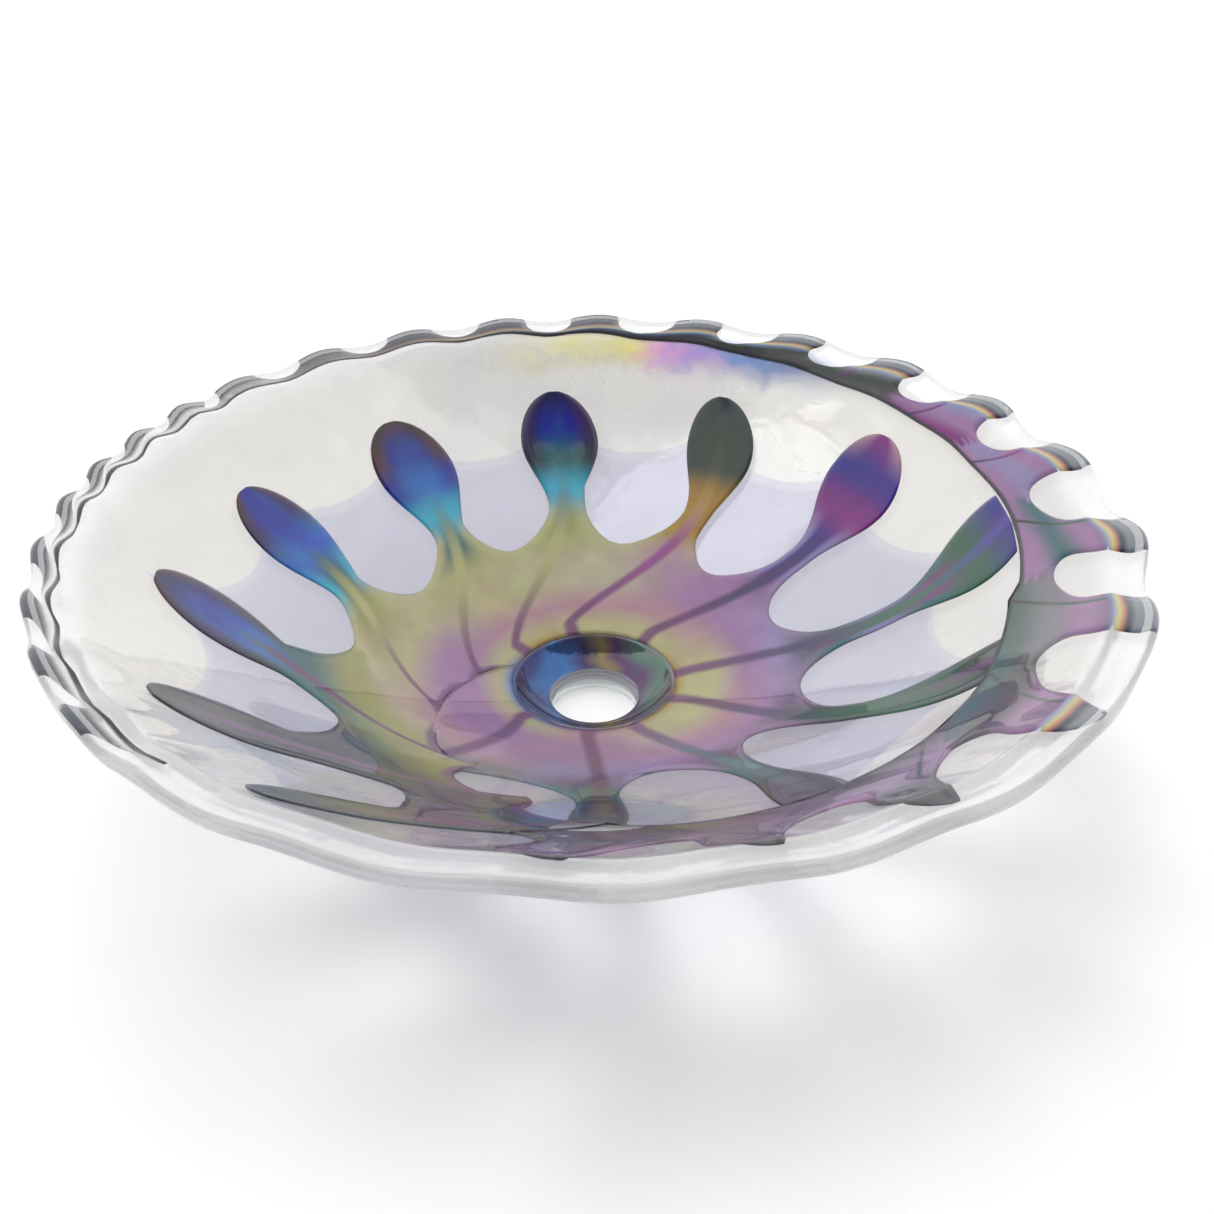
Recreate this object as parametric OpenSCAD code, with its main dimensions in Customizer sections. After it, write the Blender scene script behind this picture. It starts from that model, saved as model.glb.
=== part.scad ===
// Blown glass vessel basin with a wound and combed colour trail.
// Z = 0 is the ground underside of the foot pad, and Z is the axis of the drain hole.

/* [Bowl] */
// Radius of the basin over its lip
rim_r = 250; // [200:1:300]
// Height of the lip above the surface that the basin stands on
rim_h = 131.4; // [110:0.1:180]
// Thickness of the blown wall
wall_t = 6.6; // [4:0.1:9]
// How far the wall's tangent turns from the drain to the fold of the lip
wall_turn = 28; // [10:1:40]
// Width of the flared lip, outside the fold
lip_w = 17; // [10:0.5:25]
// Height that the flared lip rises over its width
lip_rise = 4; // [1:0.5:8]
// Radius of the fire-polished edge
bead_r = 3.1; // [2:0.1:4]

/* [Drain] */
// Radius of the drilled drain hole
hole_r = 22.5; // [16:0.5:26]
// Radius of the dished seat around the hole
seat_r = 41; // [36:0.5:50]
// Depth of the dished seat
seat_depth = 9.2; // [5:0.1:12]
// How far the seat's tangent turns from the hole to its shoulder
seat_turn = 36; // [10:1:50]

/* [Foot pad] */
// Thickness of the pad at the hole
pad_t = 6; // [4:0.5:12]
// Radius of the ground underside
pad_r = 60; // [52:1:90]
// Bevel around the ground underside
pad_bevel = 2; // [0.5:0.5:3]

/* [Colour trail] */
// Thickness of the trail
trail_t = 0.9; // [0.5:0.1:1.5]
// Half-width of a long finger at its rounded end
bulb_w = 23; // [18:0.5:25]
// Half-width of a long finger at its neck
neck_w = 8.5; // [6:0.5:10]
// Depth of the rounded inner end of a window between long fingers
window_d = 26; // [16:0.5:28]

/* [Hidden] */
$fn = 96;

SEAT_STEPS = 10;
WALL_STEPS = 28;
BEAD_STEPS = 10;
EDGE_EASE = 1.2;
BORE_LAND = 3;
SEAM = 3;
LIFT = 0.05;
BULB_END = 28;
TAPER = 45;
SAG = 1.2;
TRAIL_GAP = 1;
TIP_EASE = 0.3;
EDGE_GAP = 0.5;
END_LENGTH = 4;
SETTLE = 20;
RELEASE = 25;

// The trail's ribs are numbered from the drain outwards: 0 to LONG in the first turn, then to LAST.
// Each list gives [rib, value], and the ribs between take values in between. Azimuths run on past 360.
LAST = 36;
LONG = 12;
// The ribs before FREE start at the seat, and those up to SHORT end against the second turn.
FREE = 8;
SHORT = 4;
NODE_AZ = [[0, 224], [1, 267], [2, 297], [3, 336], [4, 365], [5, 412], [6, 466], [7, 507], [8, 543],
    [9, 571], [10, 595], [11, 610], [12, 630], [13, 641], [18, 725], [22, 787], [30, 897], [37, 960]];
NODE_R = [[0, 0.2], [7, 0.205], [8, 0.235], [9, 0.342], [10, 0.447], [11, 0.55], [12, 0.66], [13, 0.705],
    [14, 0.738], [17, 0.78], [18, 0.832], [20, 0.875], [22, 0.905], [24, 0.926], [26, 0.937], [30, 0.953],
    [37, 0.955]];
TIP_AZ = [[0, 234], [1, 271], [2, 298], [3, 335], [4, 366], [5, 396.4], [6, 427], [7, 457.8], [8, 488.6],
    [9, 520.6], [10, 548], [11, 576.5], [12, 600.5], [13, 628], [14, 645], [15, 660], [16, 678],
    [17, 698.5], [18, 715], [19, 734], [24, 813], [28, 869], [32, 903], [37, 955]];
TIP_R = [[0, 0.447], [1, 0.655], [2, 0.74], [3, 0.78], [4, 0.835], [5, 0.822], [6, 0.805], [8, 0.79],
    [9, 0.795], [10, 0.82], [11, 0.857], [12, 0.905], [13, 0.94], [14, 0.945], [15, 0.968], [16, 0.985],
    [36, 0.985]];
WINDOW_R = [[0, 0.45], [1, 0.4], [2, 0.41], [3, 0.425], [4, 0.392], [5, 0.394], [6, 0.419], [8, 0.428],
    [9, 0.481], [10, 0.556], [11, 0.641], [12, 0.75], [13, 0.818], [15, 0.826], [17, 0.85], [18, 0.874],
    [19, 0.897], [22, 0.925], [24, 0.937], [25, 0.958], [36, 0.965]];
CURL = [[0, 5], [9, 5], [10, 4], [12, 3], [13, 2.2], [36, 2]];
BOW = [[0, 0], [1, -1], [2, -4], [3, 9], [4, 8], [5, 6], [6, 5], [7, 0.5], [8, -0.5], [9, -2], [10, -5],
    [11, -6], [12, -6], [13, -2], [14, 0], [36, 0]];
BULB_W = [[0, 0.3], [1, 0.52], [2, 0.65], [3, 0.78], [4, 1.09], [5, 1.09], [6, 0.91], [7, 1.02], [8, 1.04],
    [9, 0.96], [10, 0.91], [12, 0.87], [13, 0.87], [14, 0.7], [15, 0.65], [16, 0.83], [17, 0.74],
    [28, 0.65], [36, 0.48]];
NECK_W = [[0, 0.82], [1, 0.82], [2, 0.88], [7, 1], [8, 1.18], [12, 1.41], [13, 1.76], [15, 1.65],
    [17, 1.76], [28, 1.65], [36, 1.18]];
// Length of a finger's end that would lie past the second turn's inner edge or past the lip.
HIDDEN_END = [[0, 20], [3, 20], [4, 14], [5, 0], [16, 0], [17, 16], [36, 16]];
// Share of a finger's width that lies before its vein: even in the first turn, nearly all in the second.
LEAN = [[0, 0.5], [9, 0.5], [10, 0.55], [11, 0.6], [12, 0.68], [13, 0.85], [16, 0.75], [18, 0.9], [36, 0.9]];
// Furthest that a finger's clockwise edge may lie past its tip's azimuth, beside its window.
STRAIGHT = [[3, 20], [4, -8], [5, -8], [6, -6.5], [7, -5], [8, -2.6], [9, 0.5], [10, 4], [11, 4.5],
    [12, 5.5], [13, -3], [14, -5], [36, -5]];
WINDOW_D = [[0, 1], [6, 1], [8, 0.85], [9, 0.7], [11, 0.7], [12, 0.62], [13, 0.54], [19, 0.46],
    [24, 0.31], [36, 0.23]];
// The first rib lies against the inner edge of the second turn.
START_AZ = [[0.168, 164], [0.235, 183], [0.342, 210], [0.447, 231.5]];

seat_z = pad_t + wall_t + seat_depth;
fold_r = rim_r - lip_w;
fold_z = rim_h - lip_rise;
hole_edge = [hole_r + EDGE_EASE, pad_t + wall_t];
seat_edge = [seat_r, seat_z];
fold = [fold_r, fold_z];

// An arc is [centre, radius, start angle, turn], concave side up, from the inner point to the outer one.
function arc_of(p, q, turn) =
    let (chord = norm(q - p),
         slope = atan2(q[1] - p[1], q[0] - p[0]),
         r = chord / (2 * sin(turn / 2)),
         start = slope - turn / 2)
    [p + r * [-sin(start), cos(start)], r, start, turn];
function arc_points(arc, out, steps) =
    [for (i = [0:steps])
        let (a = arc[2] + arc[3] * i / steps)
        arc[0] + (arc[1] + out) * [sin(a), -cos(a)]];
function reversed(points) = [for (i = [len(points) - 1:-1:0]) points[i]];

seat_arc = arc_of(hole_edge, seat_edge, seat_turn);
wall_arc = arc_of(seat_edge, fold, wall_turn);
bead_c = [rim_r - bead_r, rim_h - bead_r];
lip_slope = atan2(lip_rise, lip_w);

// The wall's underside follows the inside at the wall's thickness.
under_seat = [for (p = arc_points(seat_arc, wall_t, SEAT_STEPS))
    if (p[0] > hole_r + BORE_LAND && p[0] < seat_r + SEAM && p[1] > pad_t) p];
under_wall = [for (p = arc_points(wall_arc, wall_t, WALL_STEPS)) if (p[0] > seat_r + 2 * SEAM) p];

wall_outline = concat(
    [[hole_r, pad_t + wall_t - EDGE_EASE]],
    arc_points(seat_arc, 0, SEAT_STEPS),
    [for (p = arc_points(wall_arc, 0, WALL_STEPS)) if (p[0] > seat_r) p],
    [for (i = [0:BEAD_STEPS])
        let (a = 90 + lip_slope - 180 * i / BEAD_STEPS)
        bead_c + bead_r * [cos(a), sin(a)]],
    reversed(under_wall),
    reversed(under_seat),
    [[hole_r + BORE_LAND, pad_t], [hole_r, pad_t]]);

pad_outline = concat(
    [[hole_r, 0], [pad_r - pad_bevel, 0], [pad_r, pad_bevel]],
    [for (p = reversed(under_wall)) if (p[0] < pad_r + 2 * SEAM) p],
    reversed(under_seat),
    [[hole_r + BORE_LAND, pad_t], [hole_r, pad_t]]);

module bowl_wall() {
    color([0.9, 0.92, 0.94, 0.5])
        rotate_extrude() polygon(wall_outline);
}

module foot_pad() {
    color([0.8, 0.86, 0.88])
        rotate_extrude() polygon(pad_outline);
}

// Height of the basin's inside at a distance from its axis.
function inside_z(r) =
    r < fold_r
        ? wall_arc[0][1] - sqrt(pow(wall_arc[1], 2) - pow(r - wall_arc[0][0], 2))
        : fold_z + (r - fold_r) * lip_rise / lip_w;

// The trail is one thread wound from the drain to the lip. Its edge was pulled outwards at every rib
// of the optic mould, so rib j has a vein from a node on the inner edge to a tip further out.
function tip_az(j) = lookup(j, TIP_AZ);
function tip_r(j) = rim_r * lookup(j, TIP_R);
function node_az(j) = lookup(j, NODE_AZ);
function node_r(j) = rim_r * lookup(j, NODE_R);
// The vein leaves its node in a curl, which dies away as it straightens towards the tip.
function vein_az(j, r) =
    let (way = max(0, min(1, (tip_r(j) - r) / (tip_r(j) - node_r(j)))))
    tip_az(j) + (node_az(j) - tip_az(j)) * pow(way, lookup(j, CURL))
        - lookup(j, BOW) * sin(180 * way);

// 0 below low and 1 above high, with a smooth step between.
function ease(low, high, x) =
    let (t = max(0, min(1, (x - low) / (high - low))))
    t * t * (3 - 2 * t);
// Half-width of a finger at a distance from its tip: a rounded end, a taper and a neck.
function finger_w(j, gone) =
    let (bulb = bulb_w * lookup(j, BULB_W), neck = neck_w * lookup(j, NECK_W))
    gone < BULB_END
        ? bulb * sqrt(max(0, 1 - pow(1 - gone / BULB_END, 2)))
        : neck + (bulb - neck) * (0.5 + 0.5 * cos(180 * min(1, (gone - BULB_END) / TAPER)));
function wide_az(j, r) = finger_w(j, tip_r(j) + lookup(j, HIDDEN_END) - r) / r * 180 / PI;
function right_az(j, r) = vein_az(j, r) + wide_az(j, r) * 2 * (1 - lookup(j, LEAN));
// A finger's clockwise edge stays straight beside its window, where its vein already curls.
function left_az(j, r) =
    let (free = vein_az(j, r) - wide_az(j, r) * 2 * lookup(j, LEAN),
         over = free - tip_az(j) - lookup(j, STRAIGHT),
         start = window_start(max(0, j - 1)),
         end = tip_r(j) - BULB_END)
    free - max(0, over) * ease(start - SETTLE, start, r) * (1 - ease(end - RELEASE, end, r));

// The window between rib j and the next opens from a rounded inner end.
function window_start(j) = rim_r * lookup(j, WINDOW_R);
function opened(j, r) =
    let (depth = window_d * lookup(j, WINDOW_D), into = r - window_start(j))
    into <= 0 ? 0 : into < depth ? sqrt(1 - pow(1 - into / depth, 2)) : 1;
function middle_az(j, r) = (right_az(j, r) + left_az(j + 1, r)) / 2;
function window_az(j, r) = max(0, left_az(j + 1, r) - right_az(j, r)) / 2 * opened(j, r);

// The second turn's inner edge is a line from node to node. The first ribs end against it.
INNER_EDGE = [for (j = [FREE:LONG + 10]) [node_az(j) - 360, node_r(j)]];
function inner_edge_r(az) = lookup(az, INNER_EDGE);
function joint_r(j) =
    j < FREE ? seat_r + TRAIL_GAP
    : j > LONG ? (node_r(j) + node_r(j + 1)) / 2 - SAG
    : inner_edge_r(middle_az(j, (node_r(j) + node_r(j + 1)) / 2) - 360);

// A turn of the thread is one closed sheet: a web shared by its ribs out to the windows' inner ends,
// then a finger for each rib. u runs over a rib from -1 to 1.
module turn(first, last, across, web_rows, finger_rows) {
    rows = web_rows + finger_rows;
    rib_points = (rows + 1) * (across + 1);
    layer = (last - first + 1) * rib_points;
    function side_az(j, u, r) =
        u > 0 ? middle_az(j, r) - window_az(j, r)
        : j == 0 ? lookup(r / rim_r, START_AZ)
        : middle_az(j - 1, r) + window_az(j - 1, r);
    function start_r(j, u) =
        let (centre = j < FREE ? seat_r + TRAIL_GAP : node_r(j),
             side = u < 0 ? (j == 0 ? seat_r + TRAIL_GAP : joint_r(j - 1)) : joint_r(j))
        (1 - abs(u)) * centre + abs(u) * side;
    function end_r(j, u) =
        j > SHORT ? tip_r(j) - TIP_EASE
        : inner_edge_r((1 - abs(u)) * tip_az(j) + abs(u) * side_az(j, u, tip_r(j))) - EDGE_GAP;
    function web_r(j, u) =
        let (left = window_start(max(0, j - 1)), right = window_start(j))
        min(end_r(j, u) - END_LENGTH, (1 - abs(u)) * (left + right) / 2 + abs(u) * (u < 0 ? left : right));
    function point(j, u, row, up) =
        let (out = (row - web_rows) / finger_rows,
             web = web_r(j, u),
             r = out <= 0
                 ? (1 - row / web_rows) * start_r(j, u) + row / web_rows * web
                 : web + (end_r(j, u) - web) * sin(90 * out),
             az = (1 - abs(u)) * vein_az(j, r) + abs(u) * side_az(j, u, r))
        [r * cos(az), r * sin(az), inside_z(r) + LIFT + up];
    points = [for (up = [0, trail_t]) for (j = [first:last]) for (row = [0:rows]) for (i = [0:across])
        point(j, 2 * i / across - 1, row, up)];
    function at(j, row, i) =
        i == 0 && row <= web_rows && j > first ? at(j - 1, row, across)
        : (j - first) * rib_points + row * (across + 1) + i;
    under = [for (j = [first:last]) for (row = [0:rows - 1]) for (i = [0:across - 1])
        each [[at(j, row, i), at(j, row + 1, i + 1), at(j, row, i + 1)],
              [at(j, row, i), at(j, row + 1, i), at(j, row + 1, i + 1)]]];
    upper = [for (f = under) [f[2] + layer, f[1] + layer, f[0] + layer]];
    edges = [for (j = [first:last]) each concat(
        [for (i = [0:across - 1]) [at(j, 0, i), at(j, 0, i + 1)]],
        [for (i = [0:across - 1]) [at(j, rows, i + 1), at(j, rows, i)]],
        [for (row = [(j == last ? 0 : web_rows):rows - 1]) [at(j, row, across), at(j, row + 1, across)]],
        [for (row = [(j == first ? 0 : web_rows):rows - 1]) [at(j, row + 1, 0), at(j, row, 0)]])];
    walls = [for (e = edges) each [[e[0], e[1], e[1] + layer], [e[0], e[1] + layer, e[0] + layer]]];
    polyhedron(points, concat(under, upper, walls));
}

module trail_first_turn() {
    color([0.42, 0.3, 0.55]) turn(0, LONG, 4, 3, 9);
}

module trail_second_turn() {
    color([0.3, 0.42, 0.4]) turn(LONG + 1, LAST, 2, 2, 4);
}

bowl_wall();
foot_pad();
trail_first_turn();
trail_second_turn();
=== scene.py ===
import functools
import math

import bmesh
import bpy
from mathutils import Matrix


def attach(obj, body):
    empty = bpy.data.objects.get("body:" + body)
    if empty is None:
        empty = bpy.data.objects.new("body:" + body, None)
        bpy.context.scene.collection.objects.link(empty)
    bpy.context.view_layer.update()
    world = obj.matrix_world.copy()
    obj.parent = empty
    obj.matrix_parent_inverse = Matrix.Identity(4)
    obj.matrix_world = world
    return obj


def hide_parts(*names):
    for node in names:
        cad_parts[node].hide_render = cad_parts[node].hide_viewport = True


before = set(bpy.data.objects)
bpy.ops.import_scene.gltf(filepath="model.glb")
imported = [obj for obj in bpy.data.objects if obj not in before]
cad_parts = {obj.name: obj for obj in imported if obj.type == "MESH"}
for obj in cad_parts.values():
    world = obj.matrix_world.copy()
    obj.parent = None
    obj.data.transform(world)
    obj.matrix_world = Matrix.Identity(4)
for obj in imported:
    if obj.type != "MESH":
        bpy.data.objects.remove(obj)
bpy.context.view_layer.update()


# ---- Bowl wall ----
# One bubble of clear glass, blown, opened and spun out into a wide basin with a folded, bead-edged lip.
# An optic mould left it ribbed, so the lip waves, and an iridescent spray gave its windows a pearly veil.
RIM_R = 0.250
RIM_Z = 0.1314
WALL = 0.0066
HOLE_R = 0.0225
PAD_Z = 0.006
SEAT_R = 0.041
SEAT_Z = 0.0218
FOLD_R = 0.233
FOLD_Z = 0.1274
LIP_W = 0.017
BEAD_R = 0.0031
EASE = 0.0012
SEAT_TURN = math.radians(36)
WALL_TURN = math.radians(28)
WAVE_IN = 0.0027
WAVE_DOWN = 0.0031
LIP_ROOM = 0.0004
FINGER_SIDE = 0.22
WAVE_FROM = 0.205
BORE_LAND = 0.003
SEAM = 0.003
SEAT_STEPS = 14
WALL_STEPS = 60
LIP_STEPS = 5
BEAD_STEPS = 12
ROUND_STEPS = 360

# The trail's ribs are numbered from the drain outwards, and each list gives [rib, value].
# Azimuths are in degrees and run on past 360, and radii are shares of the rim's.
FIRST_LAST = 12
SECOND_LAST = 36
NODE_AZ = [[0, 224], [1, 267], [2, 297], [3, 336], [4, 365], [5, 412], [6, 466], [7, 507], [8, 543],
    [9, 571], [10, 595], [11, 610], [12, 630], [13, 641], [18, 725], [22, 787], [30, 897], [37, 960]]
NODE_R = [[0, 0.2], [7, 0.205], [8, 0.235], [9, 0.342], [10, 0.447], [11, 0.55], [12, 0.66], [13, 0.705],
    [14, 0.738], [17, 0.78], [18, 0.832], [20, 0.875], [22, 0.905], [24, 0.926], [26, 0.937], [30, 0.953],
    [37, 0.955]]
TIP_AZ = [[0, 234], [1, 271], [2, 298], [3, 335], [4, 366], [5, 396.4], [6, 427], [7, 457.8], [8, 488.6],
    [9, 520.6], [10, 548], [11, 576.5], [12, 600.5], [13, 628], [14, 645], [15, 660], [16, 678],
    [17, 698.5], [18, 715], [19, 734], [24, 813], [28, 869], [32, 903], [37, 955], [38, 971], [39, 988]]
TIP_R = [[0, 0.447], [1, 0.655], [2, 0.74], [3, 0.78], [4, 0.835], [5, 0.822], [6, 0.805], [8, 0.79],
    [9, 0.795], [10, 0.82], [11, 0.857], [12, 0.905], [13, 0.94], [14, 0.945], [15, 0.968], [16, 0.992],
    [17, 1.0], [36, 1.0]]


def lookup(x, keys):
    """The value at x on a line through the keys, level beyond its ends."""
    if x <= keys[0][0]:
        return keys[0][1]
    for (x0, y0), (x1, y1) in zip(keys, keys[1:]):
        if x <= x1:
            return y0 + (y1 - y0) * (x - x0) / (x1 - x0)
    return keys[-1][1]


def ease(low, high, x):
    """0 below low and 1 above high, with a smooth step between."""
    t = min(1.0, max(0.0, (x - low) / (high - low)))
    return t * t * (3 - 2 * t)


def arc(start, end, turn):
    """An arc, concave side up, from one point to another: its centre, radius and start angle."""
    dx, dz = end[0] - start[0], end[1] - start[1]
    radius = math.hypot(dx, dz) / (2 * math.sin(turn / 2))
    begin = math.atan2(dz, dx) - turn / 2
    return start[0] - radius * math.sin(begin), start[1] + radius * math.cos(begin), radius, begin


def on_arc(bend, share, turn, out=0.0):
    """A point at a share of the way along an arc, at a distance outside it."""
    angle = bend[3] + turn * share
    return bend[0] + (bend[2] + out) * math.sin(angle), bend[1] - (bend[2] + out) * math.cos(angle)


SEAT_ARC = arc((HOLE_R + EASE, PAD_Z + WALL), (SEAT_R, SEAT_Z), SEAT_TURN)
WALL_ARC = arc((SEAT_R, SEAT_Z), (FOLD_R, FOLD_Z), WALL_TURN)
LIP_SLOPE = math.atan2(RIM_Z - FOLD_Z, LIP_W)
BEAD = (RIM_R - BEAD_R, RIM_Z - BEAD_R)
BEAD_FROM = BEAD[0] - BEAD_R * math.sin(LIP_SLOPE)


def inside(r, up=0.0):
    """The point of the basin's inside at a distance from the axis, and along the glass past the bead."""
    if r < FOLD_R:
        lean = math.asin((r - WALL_ARC[0]) / WALL_ARC[2])
        z = WALL_ARC[1] - WALL_ARC[2] * math.cos(lean)
        return r - up * math.sin(lean), z + up * math.cos(lean)
    if r < BEAD_FROM:
        z = FOLD_Z + (r - FOLD_R) * math.tan(LIP_SLOPE)
        return r - up * math.sin(LIP_SLOPE), z + up * math.cos(LIP_SLOPE)
    angle = math.pi / 2 + LIP_SLOPE - (r - BEAD_FROM) / BEAD_R
    return BEAD[0] + (BEAD_R + up) * math.cos(angle), BEAD[1] + (BEAD_R + up) * math.sin(angle)


@functools.lru_cache(maxsize=None)
def rib_at(az, first, last):
    """The number of the rib at an azimuth, with its fraction, between two of the trail's ribs."""
    start = lookup(first, TIP_AZ)
    turned = start + (az - start) % 360
    for j in range(first, last):
        low, high = lookup(j, TIP_AZ), lookup(j + 1, TIP_AZ)
        if turned <= high:
            return j + (turned - low) / (high - low)
    return last


def waved(r, z, az):
    """Pulls a point near the lip in and down between the ribs, and mostly down on the front side."""
    phase = rib_at(round(az, 2), 13, 39)
    pinch = 0.5 - 0.5 * math.cos(2 * math.pi * (phase + FINGER_SIDE))
    reach = ease(WAVE_FROM, RIM_R, r) * (1 + 0.8 * ease(14, 17, phase) * (1 - ease(19, 22, phase)))
    front = ease(0.1, 0.8, -math.sin(math.radians(az)))
    return r - WAVE_IN * pinch * reach * (1 - 0.85 * front), z - (WAVE_DOWN * pinch + LIP_ROOM) * reach


def profile(bm, points):
    """A chain of vertices in the plane over the x axis, from (r, z) points."""
    verts = [bm.verts.new((r, 0, z)) for r, z in points]
    return verts + [bm.edges.new((a, b)) for a, b in zip(verts, verts[1:] + verts[:1])]


def turned_shell(points, steps):
    """A closed ring of glass, spun from an outline on the axis's right."""
    bm = bmesh.new()
    bmesh.ops.spin(bm, geom=profile(bm, points), cent=(0, 0, 0), axis=(0, 0, 1), dvec=(0, 0, 0),
        angle=2 * math.pi, steps=steps, use_merge=True, use_duplicate=False)
    bmesh.ops.remove_doubles(bm, verts=bm.verts[:], dist=1e-6)
    bmesh.ops.recalc_face_normals(bm, faces=bm.faces[:])
    return bm


def piece_from(bm, name, material, node, smooth=True):
    """Finishes a piece: its mesh, finish, body, slot and the CAD node that it stands for."""
    mesh = bpy.data.meshes.new(name)
    bm.to_mesh(mesh)
    bm.free()
    for face in mesh.polygons:
        face.use_smooth = smooth
    obj = bpy.data.objects.new(name, mesh)
    bpy.context.scene.collection.objects.link(obj)
    mesh.materials.append(material)
    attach(obj, "root")
    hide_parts(node)
    return obj


class Amount:
    """A number or colour in a finish's nodes. Sums with it add the nodes that work them out."""

    def __init__(self, finish, socket):
        self.finish = finish
        self.socket = socket

    def sum(self, operation, a, b=0.0):
        return self.finish.node("Math", {"operation": operation}, {0: a, 1: b})

    def __add__(self, other):
        return self.sum("ADD", self, other)

    def __sub__(self, other):
        return self.sum("SUBTRACT", self, other)

    def __mul__(self, other):
        return self.sum("MULTIPLY", self, other)

    def __truediv__(self, other):
        return self.sum("DIVIDE", self, other)

    def __pow__(self, other):
        return self.sum("POWER", self, other)

    def __rsub__(self, other):
        return self.sum("SUBTRACT", other, self)

    __radd__ = __add__
    __rmul__ = __mul__


class Finish:
    """A material made of nodes."""

    def __init__(self, name):
        self.material = bpy.data.materials.new(name)
        self.material.use_nodes = True
        self.tree = self.material.node_tree
        self.tree.nodes.clear()

    def node(self, kind, settings=None, inputs=None, out=0):
        """Adds a node: its settings first, then its sockets' values or links. Gives one of its outputs."""
        made = self.tree.nodes.new("ShaderNode" + kind)
        for key, value in (settings or {}).items():
            if key == "stops":
                self.fill(made.color_ramp, value)
            else:
                setattr(made, key, value)
        for key, value in (inputs or {}).items():
            if isinstance(value, Amount):
                self.tree.links.new(value.socket, made.inputs[key])
            else:
                made.inputs[key].default_value = value
        return Amount(self, made.outputs[out]) if made.outputs else None

    def fill(self, ramp, stops):
        while len(ramp.elements) < len(stops):
            ramp.elements.new(0.5)
        for element, (place, colour) in zip(ramp.elements, stops):
            element.position = place
            element.color = colour

    def place(self):
        return self.node("TexCoord", out=3)

    def noise(self, scale, detail=2.0, rough=0.5, at=None, out=0, warp=0.0):
        return self.node("TexNoise", None, {"Vector": at or self.place(), "Scale": scale, "Detail": detail,
            "Roughness": rough, "Distortion": warp}, out)

    def step(self, x, low, high):
        return self.node("MapRange", {"interpolation_type": "SMOOTHSTEP"},
            {"Value": x, "From Min": low, "From Max": high}, 0)

    def blend(self, factor, a, b, how="MIX"):
        return self.node("Mix", {"data_type": "RGBA", "blend_type": how}, {0: factor, 6: a, 7: b}, 2)

    def surface(self, shader):
        self.node("OutputMaterial", None, {"Surface": shader})
        return self.material


def paint(*chart):
    """A colour as a maker's chart gives it, from 0 to 255, in the renderer's linear light."""
    return tuple(((c / 255 + 0.055) / 1.055) ** 2.4 if c > 10 else c / 3294 for c in chart) + (1.0,)


def see_through(finish, glass, shade):
    """Lets light through a glass piece on its way to what it stands on."""
    shadow = finish.node("LightPath", out=1)
    clear = finish.node("BsdfTransparent", None, {"Color": shade})
    return finish.node("MixShader", None, {0: shadow, 1: glass, 2: clear})


wall_points = [(HOLE_R, PAD_Z + WALL - EASE)]
wall_points += [on_arc(SEAT_ARC, i / SEAT_STEPS, SEAT_TURN) for i in range(SEAT_STEPS + 1)]
wall_points += [on_arc(WALL_ARC, i / WALL_STEPS, WALL_TURN) for i in range(1, WALL_STEPS + 1)]
lip_radii = [FOLD_R + (BEAD_FROM - FOLD_R) * i / LIP_STEPS for i in range(1, LIP_STEPS)]
wall_points += [(r, inside(r)[1]) for r in lip_radii]
bead_angles = [math.pi / 2 + LIP_SLOPE - math.pi * i / BEAD_STEPS for i in range(BEAD_STEPS + 1)]
wall_points += [(BEAD[0] + BEAD_R * math.cos(a), BEAD[1] + BEAD_R * math.sin(a)) for a in bead_angles]
under_wall = [on_arc(WALL_ARC, i / WALL_STEPS, WALL_TURN, WALL) for i in range(WALL_STEPS, -1, -1)]
under_seat = [on_arc(SEAT_ARC, i / SEAT_STEPS, SEAT_TURN, WALL) for i in range(SEAT_STEPS, -1, -1)]
under_wall = [p for p in under_wall if p[0] > SEAT_R + 2 * SEAM]
under_seat = [p for p in under_seat if HOLE_R + BORE_LAND < p[0] < SEAT_R + SEAM and p[1] > PAD_Z]
bore_end = [(HOLE_R + BORE_LAND, PAD_Z), (HOLE_R, PAD_Z)]
wall_points += under_wall + under_seat + bore_end

# Each window's scallop, where the pearl spray shows an older edge: [rib, radius of its inner end].
SCALLOP_R = [[2, 0.70], [3, 0.66], [4, 0.655], [7, 0.66], [8, 0.675], [9, 0.69], [10, 0.74], [11, 0.79],
    [12, 0.82]]

wall_mesh = turned_shell(wall_points, ROUND_STEPS)
scallop = wall_mesh.loops.layers.uv.new("scallop")
for face in wall_mesh.faces:
    middle = face.calc_center_median()
    middle_rib = rib_at(math.degrees(math.atan2(middle.y, middle.x)), 1, 12)
    for loop in face.loops:
        x, y, z = loop.vert.co
        r = math.hypot(x, y)
        rib = rib_at(round(math.degrees(math.atan2(y, x)), 2), 1, 12)
        if abs(rib - middle_rib) > 5:
            rib += 11 if rib < middle_rib else -11
        loop[scallop].uv = (rib, r / RIM_R - lookup(int(middle_rib), SCALLOP_R))
for vert in wall_mesh.verts:
    x, y, z = vert.co
    r = math.hypot(x, y)
    if r > WAVE_FROM:
        moved, height = waved(r, z, math.degrees(math.atan2(y, x)))
        vert.co = (x * moved / r, y * moved / r, height)

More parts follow.
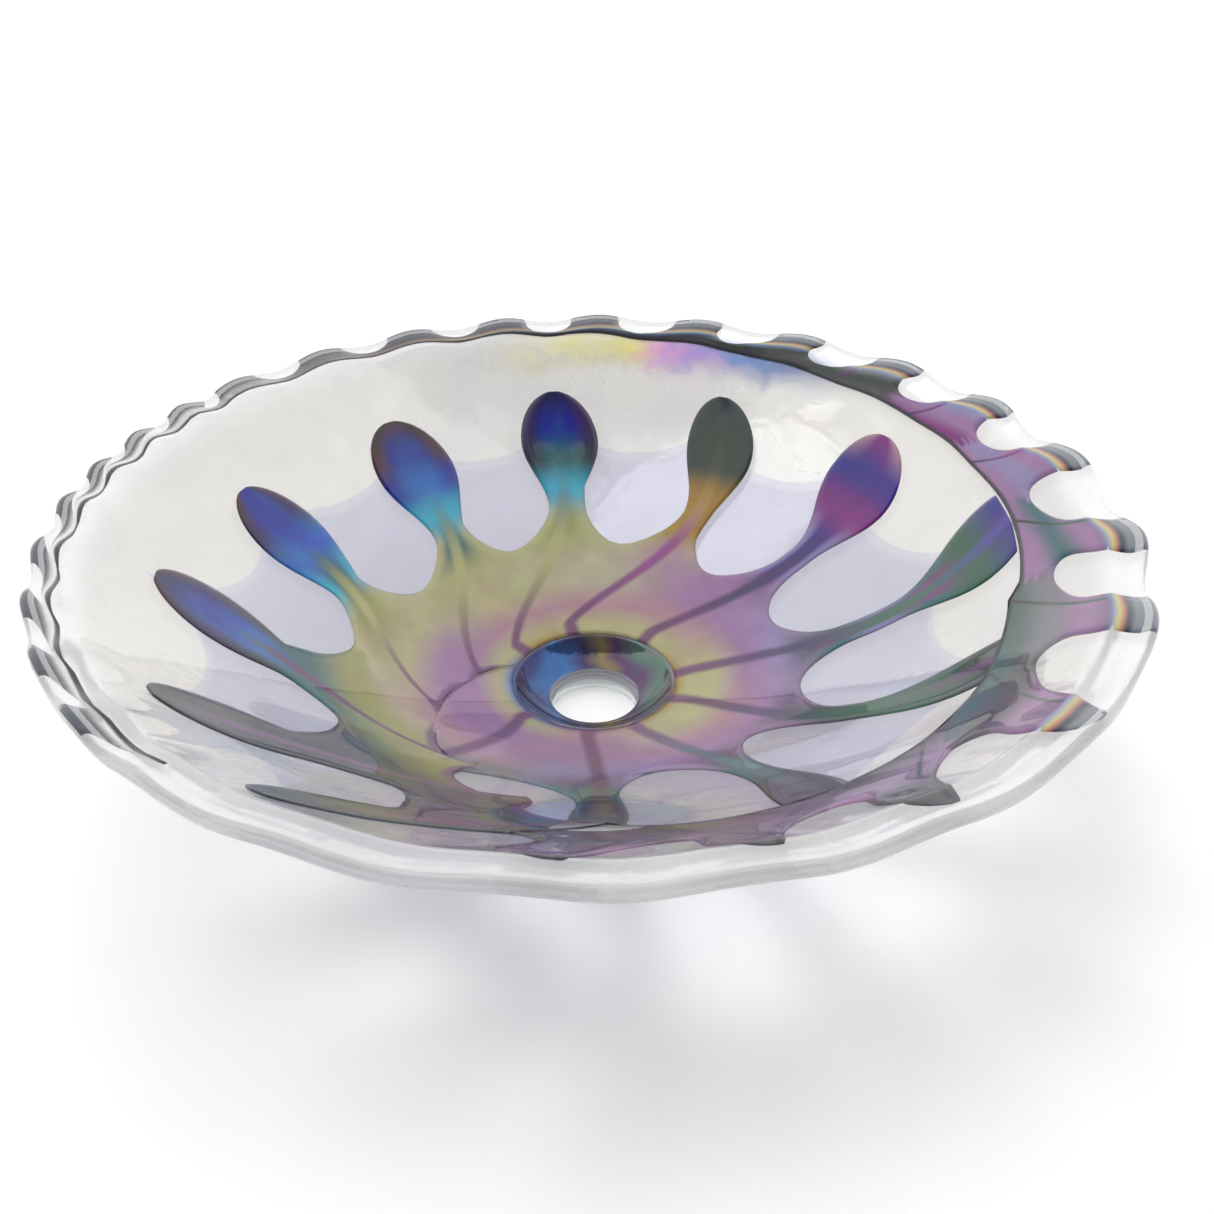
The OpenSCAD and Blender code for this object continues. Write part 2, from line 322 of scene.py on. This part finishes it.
wall_glass = Finish("pearl_glass")
uv = wall_glass.node("SeparateXYZ", None, {0: wall_glass.node("UVMap", {"uv_map": "scallop"})})
rise = wall_glass.node("SeparateXYZ", None, {0: wall_glass.node("UVMap", {"uv_map": "scallop"})}, 1)
between = uv.sum("FRACT", uv) * 2 - 1
curve = 1 - (1 - between * between * 0.98) ** 0.5
scallops = wall_glass.step(rise - curve * 0.13 + wall_glass.noise(9.0) * 0.012, 0.0, 0.007)
cloud = wall_glass.noise(7.0, 4.0, 0.6, warp=1.5)
inner = wall_glass.blend(cloud, paint(210, 207, 220), paint(190, 191, 207))
outer = wall_glass.blend(cloud, paint(238, 235, 228), paint(216, 215, 216))
pearl = wall_glass.blend(scallops, inner, outer)
ripple = wall_glass.noise(26.0, 3.0, 0.5)
bump = wall_glass.node("Bump", None, {"Strength": 0.22, "Distance": 0.004, "Height": ripple})
radius = wall_glass.node("VectorMath", {"operation": "LENGTH"}, {0: wall_glass.node("VectorMath",
    {"operation": "MULTIPLY"}, {0: wall_glass.place(), 1: (1, 1, 0)})}, 1)
across = wall_glass.node("SeparateXYZ", None, {0: wall_glass.place()}, 0)
back = wall_glass.node("SeparateXYZ", None, {0: wall_glass.place()}, 1)
wander = wall_glass.noise(34.0, 3.0, 0.6, warp=1.2)
# The bright flash by the back of the lip is a painted highlight, the room's light mirrored in the spray,
# painted on so it stays there from every side.
painted_flash_colour = wall_glass.node("ValToRGB", {"stops": [
    (0.0, paint(236, 236, 240)), (0.28, paint(240, 236, 196)),
    (0.46, paint(246, 236, 130)), (0.58, paint(240, 170, 220)), (0.68, paint(196, 150, 236)),
    (0.8, paint(110, 150, 220)), (1.0, paint(70, 110, 180))]},
    {"Fac": (across + 0.09) / 0.22 + (wander - 0.5) * 0.5})
painted_flash = wall_glass.step(radius + (wander - 0.5) * 0.02, 0.214, 0.222)
painted_flash = painted_flash * (1 - wall_glass.step(radius, 0.231, 0.234))
painted_flash = painted_flash * wall_glass.step(back, 0.16, 0.2) * wall_glass.step(across, -0.10, -0.03)
pearl = wall_glass.blend(painted_flash * 0.85, pearl, painted_flash_colour)
pearl = wall_glass.blend(wall_glass.step(radius, 0.226, 0.234) * 0.75, pearl, paint(248, 248, 250))
height = wall_glass.node("SeparateXYZ", None, {0: wall_glass.place()}, 2)
join = (1 - wall_glass.step((height - 0.0084) * (height - 0.0084), 0.0, 2e-7)) * (1 - wall_glass.step(
    radius, 0.0227, 0.0232))
pearl = wall_glass.blend(join * 0.8, pearl, paint(70, 66, 60))
clear_glass = wall_glass.node("BsdfPrincipled", None, {"Base Color": pearl, "Roughness": 0.02, "IOR": 1.5,
    "Transmission Weight": 1.0, "Normal": bump, "Coat Weight": 0.8, "Coat IOR": 1.75,
    "Coat Roughness": 0.01})
veil = wall_glass.node("BsdfPrincipled", None, {"Base Color": pearl, "Roughness": 0.25, "Normal": bump,
    "Coat Weight": 0.8, "Coat IOR": 1.75, "Coat Roughness": 0.01})
milky = wall_glass.node("MixShader", None, {0: 0.22 + cloud * 0.16 + painted_flash * 0.3, 1: clear_glass, 2: veil})

seat_swirl = wall_glass.noise(28.0, 2.0, warp=1.0)
seat_colour = wall_glass.node("ValToRGB", {"stops": [(0.0, paint(20, 26, 92)), (0.22, paint(34, 96, 160)),
    (0.36, paint(46, 30, 86)), (0.5, paint(128, 112, 66)), (0.62, paint(84, 42, 96)),
    (0.78, paint(84, 118, 104)), (1.0, paint(150, 88, 128))]},
    {"Fac": across * 11 + 0.42 + (seat_swirl - 0.5) * 0.5})
lustre = wall_glass.node("BsdfPrincipled", None, {"Base Color": seat_colour, "Metallic": 0.9,
    "Roughness": 0.07, "Coat Weight": 1.0, "Coat Roughness": 0.02})
seat_part = (1 - wall_glass.step(radius, SEAT_R - 0.001, SEAT_R + 0.003)) * wall_glass.step(
    radius, HOLE_R + 0.0001, HOLE_R + 0.0006) * wall_glass.step(height, 0.0118, 0.0128)
wall_shader = wall_glass.node("MixShader", None, {0: seat_part, 1: milky, 2: lustre})
piece_from(wall_mesh, "bowl_wall_glass", wall_glass.surface(see_through(wall_glass, wall_shader,
    paint(236, 236, 233))), "bowl_wall")


# ---- Foot pad ----
# A disc of the same clear glass, gathered on under the wall and ground flat, so the basin stands level.
# Its bore goes on from the drain hole, and the join shows there as two fine lines.
PAD_R = 0.060
PAD_BEVEL = 0.002
PAD_STEPS = 160

pad_points = [(HOLE_R, 0), (PAD_R - PAD_BEVEL, 0), (PAD_R, PAD_BEVEL)]
pad_points += [p for p in reversed(under_wall) if p[0] < PAD_R + 2 * SEAM] + under_seat + bore_end

pad_glass = Finish("foot_glass")
swirl = pad_glass.noise(14.0, 4.0, 0.6, warp=2.0)
pad_tint = pad_glass.blend(swirl, paint(226, 232, 232), paint(206, 214, 216))
pad_bump = pad_glass.node("Bump", None, {"Strength": 0.08, "Distance": 0.002,
    "Height": pad_glass.noise(60.0)})
pad_shader = pad_glass.node("BsdfPrincipled", None, {"Base Color": pad_tint, "IOR": 1.5,
    "Roughness": 0.04 + swirl * 0.05, "Transmission Weight": 0.7, "Normal": pad_bump})
piece_from(turned_shell(pad_points, PAD_STEPS), "foot_pad_glass", pad_glass.surface(
    see_through(pad_glass, pad_shader, paint(240, 242, 243))), "foot_pad")


# ---- Trail, first turn ----
# A thread of dark glass laid on the hot bubble in a spiral from the drain, then pulled outwards by the
# mould's ribs. Each rib left a vein, a curl of web and a long finger that ends in a rounded bulb.
TRAIL_T = 0.0009
LIFT = 0.00005
WINDOW_R = [[0, 0.45], [1, 0.4], [2, 0.41], [3, 0.425], [4, 0.392], [5, 0.394], [6, 0.419], [8, 0.428],
    [9, 0.481], [10, 0.556], [11, 0.641], [12, 0.75], [13, 0.818], [15, 0.826], [17, 0.85], [18, 0.874],
    [19, 0.897], [22, 0.925], [24, 0.937], [25, 0.958], [36, 0.965]]
CURL = [[0, 5], [9, 5], [10, 4], [12, 3], [13, 2.2], [36, 2]]
BOW = [[0, 0], [1, -1], [2, -4], [3, 9], [4, 8], [5, 6], [6, 5], [7, 0.5], [8, -0.5], [9, -2], [10, -5],
    [11, -6], [12, -6], [13, -2], [14, 0], [36, 0]]
BULB_END = 0.028
TAPER = 0.045
BULB_W = [[0, 7], [1, 12], [2, 15], [3, 18], [4, 25], [5, 25], [6, 21], [7, 23.5], [8, 24],
    [9, 22], [10, 21], [12, 20], [13, 20], [14, 16], [15, 15], [16, 19], [17, 17], [28, 15], [36, 11]]
NECK_W = [[0, 7], [1, 7], [2, 7.5], [7, 8.5], [8, 10], [12, 12], [13, 15], [15, 14], [17, 15], [28, 14],
    [36, 10]]
HIDDEN_END = [[0, 20], [3, 20], [4, 14], [5, 0], [16, 0], [17, 16], [36, 16]]
LEAN = [[0, 0.5], [9, 0.5], [10, 0.55], [11, 0.6], [12, 0.68], [13, 0.85], [16, 0.75], [18, 0.9], [36, 0.9]]
STRAIGHT = [[3, 20], [4, -8], [5, -8], [6, -6.5], [7, -5], [8, -2.6], [9, 0.5], [10, 4], [11, 4.5],
    [12, 5.5], [13, -3], [14, -5], [36, -5]]
WINDOW_D = [[0, 26], [6, 26], [8, 22], [9, 18], [11, 18], [12, 16], [13, 14], [19, 12], [24, 8], [36, 6]]
START_AZ = [[0.168, 164], [0.235, 183], [0.342, 210], [0.447, 231.5]]
SAG = 0.0012
MM = 0.001
SETTLE = 0.020
RELEASE = 0.025
END_LENGTH = 0.004
TIP_EASE = 0.0003
EDGE_GAP = 0.0005
# The ribs before FREE start at the seat, and those up to SHORT end against the second turn.
FREE = 8
SHORT = 4


def tip_r(j):
    return RIM_R * lookup(j, TIP_R)


def node_r(j):
    return RIM_R * lookup(j, NODE_R)


def vein_az(j, r):
    """The vein leaves its node in a curl, which dies away as it straightens towards the tip."""
    way = max(0.0, min(1.0, (tip_r(j) - r) / (tip_r(j) - node_r(j))))
    curl = (lookup(j, NODE_AZ) - lookup(j, TIP_AZ)) * way ** lookup(j, CURL)
    return lookup(j, TIP_AZ) + curl - lookup(j, BOW) * math.sin(math.pi * way)


def finger_w(j, gone):
    """Half-width of a finger at a distance from its tip: a rounded end, a taper and a neck."""
    bulb, neck = lookup(j, BULB_W) * MM, lookup(j, NECK_W) * MM
    if gone < BULB_END:
        return bulb * math.sqrt(max(0.0, 1 - (1 - gone / BULB_END) ** 2))
    return neck + (bulb - neck) * (0.5 + 0.5 * math.cos(math.pi * min(1.0, (gone - BULB_END) / TAPER)))


def wide_az(j, r):
    return math.degrees(finger_w(j, tip_r(j) + lookup(j, HIDDEN_END) * MM - r) / r)


def right_az(j, r):
    return vein_az(j, r) + wide_az(j, r) * 2 * (1 - lookup(j, LEAN))


def left_az(j, r):
    """A finger's clockwise edge stays straight beside its window, where its vein already curls."""
    free = vein_az(j, r) - wide_az(j, r) * 2 * lookup(j, LEAN)
    start = window_start(max(0, j - 1))
    over = free - lookup(j, TIP_AZ) - lookup(j, STRAIGHT)
    end = tip_r(j) - BULB_END
    return free - max(0.0, over) * ease(start - SETTLE, start, r) * (1 - ease(end - RELEASE, end, r))


def window_start(j):
    return RIM_R * lookup(j, WINDOW_R)


def window_az(j, r):
    """Half of the angle that a window takes, from its rounded inner end outwards."""
    depth, into = lookup(j, WINDOW_D) * MM, r - window_start(j)
    if into <= 0:
        return 0.0
    opened = math.sqrt(1 - (1 - into / depth) ** 2) if into < depth else 1.0
    return max(0.0, left_az(j + 1, r) - right_az(j, r)) / 2 * opened


def middle_az(j, r):
    return (right_az(j, r) + left_az(j + 1, r)) / 2


INNER_EDGE = [[lookup(j, NODE_AZ) - 360, node_r(j)] for j in range(FREE, FIRST_LAST + 11)]


def joint_r(j):
    if j < FREE:
        return SEAT_R + MM
    if j > FIRST_LAST:
        return (node_r(j) + node_r(j + 1)) / 2 - SAG
    return lookup(middle_az(j, (node_r(j) + node_r(j + 1)) / 2) - 360, INNER_EDGE)


def side_az(j, u, r):
    if u > 0:
        return middle_az(j, r) - window_az(j, r)
    if j == 0:
        return lookup(r / RIM_R, START_AZ)
    return middle_az(j - 1, r) + window_az(j - 1, r)


def start_r(j, u):
    centre = SEAT_R + MM if j < FREE else node_r(j)
    side = joint_r(j) if u >= 0 else SEAT_R + MM if j == 0 else joint_r(j - 1)
    return (1 - abs(u)) * centre + abs(u) * side


def end_r(j, u):
    if j > SHORT:
        return tip_r(j) - TIP_EASE
    az = (1 - abs(u)) * lookup(j, TIP_AZ) + abs(u) * side_az(j, u, tip_r(j))
    return lookup(az, INNER_EDGE) - EDGE_GAP


def web_r(j, u):
    left, right = window_start(max(0, j - 1)), window_start(j)
    blended = (1 - abs(u)) * (left + right) / 2 + abs(u) * (left if u < 0 else right)
    return min(end_r(j, u) - END_LENGTH, blended)


# Glazes of the thin metal film on the trail, as they show over pale ground; on the first turn's bulbs some
# also serve as painted reflection.
GLAZE = {
    "beige": paint(206, 194, 170), "straw": paint(202, 197, 150), "olive": paint(170, 167, 110),
    "gold": paint(182, 150, 76), "rose": paint(200, 156, 172),
    "mauve": paint(178, 136, 182), "lilac": paint(168, 156, 204), "plum": paint(98, 42, 98),
    "violet": paint(66, 44, 144), "purple": paint(50, 34, 84), "magenta": paint(136, 46, 130),
    "navy": paint(14, 22, 76), "blue": paint(34, 60, 168), "sky": paint(76, 120, 204),
    "cyan": paint(98, 194, 222), "teal": paint(62, 110, 116), "green": paint(40, 92, 70),
    "moss": paint(46, 60, 50), "slate": paint(46, 54, 66), "smoke": paint(84, 80, 86),
    "ash": paint(140, 138, 148), "ink": paint(14, 14, 18), "brown": paint(80, 44, 44),
}

# What each finger's colour does from its web to its tip: down its middle, then down its flanks. It is
# mostly the film's own glaze, but the brighter, more saturated colour on the bulbs is partly painted
# reflection.
FINGERS = {
    0: ("rose ash ash ash", "lilac ash ash ash"),
    1: ("plum teal slate slate", "lilac teal slate slate"),
    2: ("plum green moss slate", "mauve teal moss slate"),
    3: ("plum green green moss", "mauve slate green slate"),
    4: ("purple plum green magenta green violet", "mauve teal lilac teal green violet"),
    5: ("plum violet violet magenta violet magenta", "mauve lilac lilac magenta violet rose"),
    6: ("rose gold gold moss moss slate", "straw gold gold moss moss moss"),
    7: ("olive olive cyan teal blue navy", "straw straw cyan slate purple purple"),
    8: ("olive teal cyan sky blue brown", "straw straw cyan blue brown ink"),
    9: ("olive olive teal sky blue blue", "beige straw cyan sky purple brown"),
    10: ("olive olive teal sky blue navy", "beige olive teal slate purple brown"),
    11: ("rose olive slate ink moss slate", "beige olive smoke smoke slate ink"),
    12: ("mauve smoke slate moss moss ink", "rose smoke smoke slate moss slate"),
}
# The web's own glaze in rings out from the drain, at every 45 degrees.
WEB = [
    (0.170, "gold straw straw gold sky blue plum gold".split()),
    (0.195, "straw straw straw straw straw straw rose straw".split()),
    (0.250, "straw rose rose rose mauve mauve mauve straw".split()),
    (0.310, "mauve mauve beige straw mauve mauve mauve rose".split()),
    (0.380, "lilac mauve beige straw straw rose lilac mauve".split()),
    (0.450, "teal mauve straw straw beige beige ash teal".split()),
]

CLEARNESS = {"beige": 0.84, "straw": 0.86, "rose": 0.84, "mauve": 0.86, "lilac": 0.8, "gold": 0.9,
    "olive": 0.9, "ash": 0.6, "smoke": 0.82, "cyan": 0.9, "teal": 0.9}
for glaze_name, body in CLEARNESS.items():
    GLAZE[glaze_name] = GLAZE[glaze_name][:3] + (body,)


def mixed(a, b, share):
    return tuple(p + (q - p) * share for p, q in zip(a, b))


def along(names, share):
    """The glaze at a share of the way down a list of them."""
    place = min(max(share, 0.0), 1.0) * (len(names) - 1)
    low = min(int(place), len(names) - 2)
    return mixed(GLAZE[names[low]], GLAZE[names[low + 1]], ease(0, 1, place - low))


def web_glaze(az, r):
    rings = []
    turn = (az % 360) / 45
    for radius, names in WEB:
        a, b = GLAZE[names[int(turn) % 8]], GLAZE[names[(int(turn) + 1) % 8]]
        rings.append((radius, mixed(a, b, ease(0, 1, turn - int(turn)))))
    share = r / RIM_R
    if share <= rings[0][0]:
        return rings[0][1]
    for (r0, a), (r1, b) in zip(rings, rings[1:]):
        if share <= r1:
            return mixed(a, b, (share - r0) / (r1 - r0))
    return rings[-1][1]


VEINS = {0: ["plum", "plum"], 1: ["plum", "slate"], 2: ["plum", "teal", "moss"],
    3: ["plum", "purple", "green", "plum"], 4: ["plum", "purple", "green", "violet"],
    5: ["plum", "purple", "purple", "violet"], 6: ["plum", "magenta", "gold", "slate"],
    7: ["plum", "olive", "teal", "navy"], 8: ["plum", "olive", "teal", "navy"],
    9: ["plum", "olive", "green", "navy"], 10: ["plum", "plum", "green", "navy"],
    11: ["plum", "plum", "plum", "slate"], 12: ["plum", "plum", "plum", "slate"],
    13: ["ink", "purple", "ink"], 16: ["ink", "green", "purple"], 18: ["ink", "green", "purple"],
    19: ["purple", "magenta", "purple"], 22: ["purple", "ink", "ink"]}


def vein_glaze(j, r):
    """The vein's own colour: plum at the node, then as the film thins along it."""
    names = VEINS[max(k for k in VEINS if k <= j)]
    share = (r - node_r(j)) / (tip_r(j) - node_r(j))
    faded = 1 - 0.95 * ease(0.45, 0.72, share) if 4 < j < 11 else 1.0
    return along(names, share)[:3] + (faded,)


def first_glaze_and_reflection(j, u, r, az):
    middle, flank = (names.split() for names in FINGERS[j])
    share = (r / RIM_R - 0.40) / max(0.05, lookup(j, TIP_R) - 0.40)
    finger = mixed(along(middle, share), along(flank, share), ease(0.25, 0.85, abs(u)))
    return mixed(web_glaze(az, r), finger, ease(0.36, 0.48, r / RIM_R))


def turn_of_trail(first, last, across, web_rows, finger_rows, glaze):
    """A turn of the thread: a grid for each rib, laid on the wall, joined along the web and thickened."""
    rows = web_rows + finger_rows
    bm = bmesh.new()
    colour = bm.verts.layers.float_color.new("glaze")
    stripe = bm.verts.layers.float_color.new("vein")
    crown = bm.verts.layers.float.new("crown")
    fringe = bm.verts.layers.float.new("fringe")
    lines = bm.verts.layers.float_vector.new("lines")
    for j in range(first, last + 1):
        made = bmesh.ops.create_grid(bm, x_segments=across, y_segments=rows, size=1.0)
        for vert in made["verts"]:
            u = vert.co.x
            row = round((vert.co.y + 1) / 2 * rows)
            web = web_r(j, u)
            if row <= web_rows:
                r = start_r(j, u) + (web - start_r(j, u)) * row / web_rows
            else:
                out = (row - web_rows) / finger_rows
                r = web + (end_r(j, u) - web) * (0.5 - 0.5 * math.cos(math.pi * out))
            az = (1 - abs(u)) * vein_az(j, r) + abs(u) * side_az(j, u, r)
            vert[colour] = glaze(j, u, r, az)
            vert[stripe] = vein_glaze(j, r)
            # How strongly the painted reflection along the fold shows on this rib: from rib 16, fading to
            # under half past rib 20.
            vert[fringe] = ease(15.2, 16.2, j) * (1 - 0.6 * ease(20, 26, j))
            at_edge = abs(u) > 0.999 and row >= web_rows or row == rows
            vert[crown] = 0.12 if at_edge else 1.0 if row < web_rows else 1 - 0.75 * abs(u) ** 7
            from_vein = math.radians(az - vein_az(j, r)) * r
            vert[lines] = (abs(from_vein) / MM, (r - start_r(j, u)) / MM, r / RIM_R)
            vert.co = (r, az, 0)
    for vert in bm.verts:
        r, az = vert.co.x, math.radians(vert.co.y)
        flat, z = inside(r, LIFT)
        flat, z = waved(flat, z, math.degrees(az))
        vert.co = (flat * math.cos(az), flat * math.sin(az), z)
    bmesh.ops.remove_doubles(bm, verts=bm.verts[:], dist=2e-6)
    bmesh.ops.recalc_face_normals(bm, faces=bm.faces[:])
    if sum(face.normal.z for face in bm.faces) < 0:
        bmesh.ops.reverse_faces(bm, faces=bm.faces[:])
    bm.normal_update()
    upper = bmesh.ops.extrude_face_region(bm, geom=bm.faces[:], use_keep_orig=True)
    raised = [part for part in upper["geom"] if isinstance(part, bmesh.types.BMVert)]
    for vert in raised:
        reach = math.hypot(vert.co.x, vert.co.y)
        vert.co += vert.normal * TRAIL_T * vert[crown] * (1 - 0.88 * ease(0.225, 0.240, reach))
    bmesh.ops.recalc_face_normals(bm, faces=bm.faces[:])
    return bm


def lustre_finish(name, vein_w, vein_soft, deepest, edge_w, edge_colour):
    """Dark glass under a thin metal film: its glaze shifts, veins run down it, its face mirrors and a
    painted reflection lies along the fold.
    """
    finish = Finish(name)
    glaze = finish.node("Attribute", {"attribute_name": "glaze"}, out=0)
    body = finish.node("Attribute", {"attribute_name": "glaze"}, out=3)
    vein = finish.node("Attribute", {"attribute_name": "vein"}, out=0)
    vein_depth = finish.node("Attribute", {"attribute_name": "vein"}, out=3) * deepest
    fold_sheen_share = finish.node("Attribute", {"attribute_name": "fringe"}, out=2)
    lines = finish.node("Attribute", {"attribute_name": "lines"}, out=1)
    from_vein = finish.node("SeparateXYZ", None, {0: lines}, 0)
    from_edge = finish.node("SeparateXYZ", None, {0: lines}, 1)
    radius = finish.node("SeparateXYZ", None, {0: lines}, 2)
    drift = finish.noise(16.0, 3.0, 0.55, warp=1.0)
    streak = finish.noise(70.0, 2.0, 0.5)
    shifted = finish.node("HueSaturation", None, {"Hue": 0.44 + drift * 0.12, "Saturation": 1.12,
        "Value": 0.56 + streak * 0.24, "Color": glaze})
    thin = 1 - finish.step(from_vein + (drift - 0.5) * 1.2, vein_w, vein_w + vein_soft)
    edge = 1 - finish.step(from_edge + (drift - 0.5) * 0.8, edge_w * 0.4, edge_w)
    edge = edge * finish.step(radius, 0.18, 0.22)
    veined = finish.blend(thin * vein_depth, shifted, vein)
    # Painted reflection along the fold: bands of spectrum colour and a dark edge where the film catches the
    # light, laid over the glaze.
    fringe = finish.node("ValToRGB", {"stops": [(0.0, paint(120, 120, 150)), (0.3, paint(110, 140, 190)),
        (0.5, paint(200, 190, 110)), (0.62, paint(190, 120, 90)), (0.74, paint(60, 50, 70)),
        (0.82, paint(28, 28, 34)), (0.92, paint(84, 90, 100)), (1.0, paint(112, 118, 128))]},
        {"Fac": (radius - 0.915) / 0.05 + (streak - 0.5) * 0.08})
    lip = finish.step(radius, 0.922, 0.936) * fold_sheen_share
    with_fold_sheen = finish.blend(lip * 0.85, veined, fringe)
    inked = finish.blend(edge * 0.9, with_fold_sheen, edge_colour)
    bump = finish.node("Bump", None, {"Strength": 0.12, "Distance": 0.002,
        "Height": finish.noise(30.0, 3.0) + thin * 0.5})
    solid = body.sum("MAXIMUM", body, thin * vein_depth * 0.9).sum("MAXIMUM", body, edge * 0.9)
    return finish, finish.node("BsdfPrincipled", None, {"Base Color": inked, "Metallic": 0.1,
        "Roughness": 0.2 + drift * 0.08, "Specular IOR Level": 0.2, "Coat Weight": 1.0, "Coat IOR": 1.52,
        "Coat Roughness": 0.015, "Alpha": solid, "Normal": bump})


first_finish, first_shader = lustre_finish("trail_lustre_first", vein_w=1.6, vein_soft=4.2, deepest=0.9,
    edge_w=5.0, edge_colour=paint(100, 56, 104))
first_lit = see_through(first_finish, first_shader, paint(200, 197, 197))
first_turn = turn_of_trail(0, FIRST_LAST, across=20, web_rows=22, finger_rows=44, glaze=first_glaze_and_reflection)
piece_from(first_turn, "trail_first_turn_glass", first_finish.surface(first_lit),
    "trail_first_turn")


# ---- Trail, second turn ----
# The thread's outer turn lies nearer the lip, so its fingers are short and most run on over the fold.
# The ribs there end in dark marks round the rim, which narrow to nothing as the thread runs out.
OUTER = [
    (13, ["smoke", "smoke", "mauve", "slate"]), (15, ["smoke", "mauve", "smoke", "smoke"]),
    (16, ["teal", "smoke", "mauve", "plum"]), (17, ["green", "ash", "mauve", "slate"]),
    (18, ["mauve", "teal", "mauve", "slate"]), (19, ["mauve", "lilac", "mauve", "slate"]),
    (20, ["magenta", "mauve", "lilac", "slate"]), (21, ["smoke", "moss", "ash", "slate"]),
    (22, ["smoke", "moss", "smoke", "slate"]), (36, ["smoke", "slate", "slate", "ink"]),
]


def second_glaze(j, u, r, az):
    for (j0, a), (j1, b) in zip(OUTER, OUTER[1:]):
        if j <= j1:
            share = (r - node_r(j)) / (0.95 * RIM_R - node_r(j) + 0.001)
            body = mixed(along(a, share), along(b, share), (j - j0) / (j1 - j0))
            lip = mixed(body, GLAZE["slate"], ease(0.940, 0.955, r / RIM_R) * 0.8)
            thinned = lip[:3] + (lip[3] * ease(0.962, 0.982, r / RIM_R),)
            return mixed(lip, thinned, ease(24, 30, j))
    return GLAZE["slate"]


second_finish, second_shader = lustre_finish("trail_lustre_second", vein_w=0.7, vein_soft=1.2,
    deepest=0.95, edge_w=2.2, edge_colour=paint(22, 22, 28))
second_lit = see_through(second_finish, second_shader, paint(200, 197, 197))
second_turn = turn_of_trail(FIRST_LAST + 1, SECOND_LAST, across=12, web_rows=10, finger_rows=24,
    glaze=second_glaze)
piece_from(second_turn, "trail_second_turn_glass", second_finish.surface(second_lit),
    "trail_second_turn")


# ---- Floor, light and camera ----
# The basin stands on plain white paper, lit softly from above, behind and a little to the left.
FLOOR = 9.0

sweep = bmesh.new()
bmesh.ops.create_grid(sweep, x_segments=24, y_segments=24, size=FLOOR)
floor_mesh = bpy.data.meshes.new("floor")
sweep.to_mesh(floor_mesh)
sweep.free()
floor = bpy.data.objects.new("floor", floor_mesh)
bpy.context.scene.collection.objects.link(floor)
floor_paper = Finish("white_paper")
grain = floor_paper.noise(3.0, 4.0)
floor_mesh.materials.append(floor_paper.surface(floor_paper.node("BsdfPrincipled", None,
    {"Base Color": floor_paper.blend(grain, paint(252, 252, 252), paint(248, 248, 249)), "Roughness": 0.8,
     "Specular IOR Level": 0.1})))


key = bpy.data.lights.new("key", "SUN")
key.energy = 1.35
key.angle = math.radians(30)
key_lamp = bpy.data.objects.new("key", key)
key_lamp.rotation_euler = (math.radians(-16), math.radians(-14), 0)
key_lamp.visible_glossy = False
bpy.context.scene.collection.objects.link(key_lamp)

# Bright ceiling over the back half of the room and a dim one over the front, with a broken edge between.
world = bpy.data.worlds.new("studio")
bpy.context.scene.world = world
world.use_nodes = True
room = Finish("room")
room.tree = world.node_tree
way = room.node("TexCoord", out=0)
back = room.node("SeparateXYZ", None, {0: way}, 1)
up = room.node("SeparateXYZ", None, {0: way}, 2)
broken = (room.noise(5.0, 4.0, 0.6, at=way) - 0.5) * 0.5
dim = (1 - room.step(back + broken, -0.02, 0.02)) * room.step(up + broken, 0.45, 0.5)
room.tree.links.new(room.blend(dim, (1.05, 1.05, 1.05, 1), (0.34, 0.34, 0.345, 1)).socket,
    world.node_tree.nodes["Background"].inputs["Color"])
bpy.data.materials.remove(room.material)

VIEW_DOWN = 33
EYE = (0.00675, -0.49894, 0.39113)
camera_data = bpy.data.cameras.new("camera")
camera_data.sensor_width = 36
camera_data.lens = 35.32
camera = bpy.data.objects.new("camera", camera_data)
camera.location = EYE
camera.rotation_euler = (math.radians(90 - VIEW_DOWN), 0, 0)
bpy.context.scene.collection.objects.link(camera)
bpy.context.scene.camera = camera
bpy.context.scene.view_settings.view_transform = "Standard"
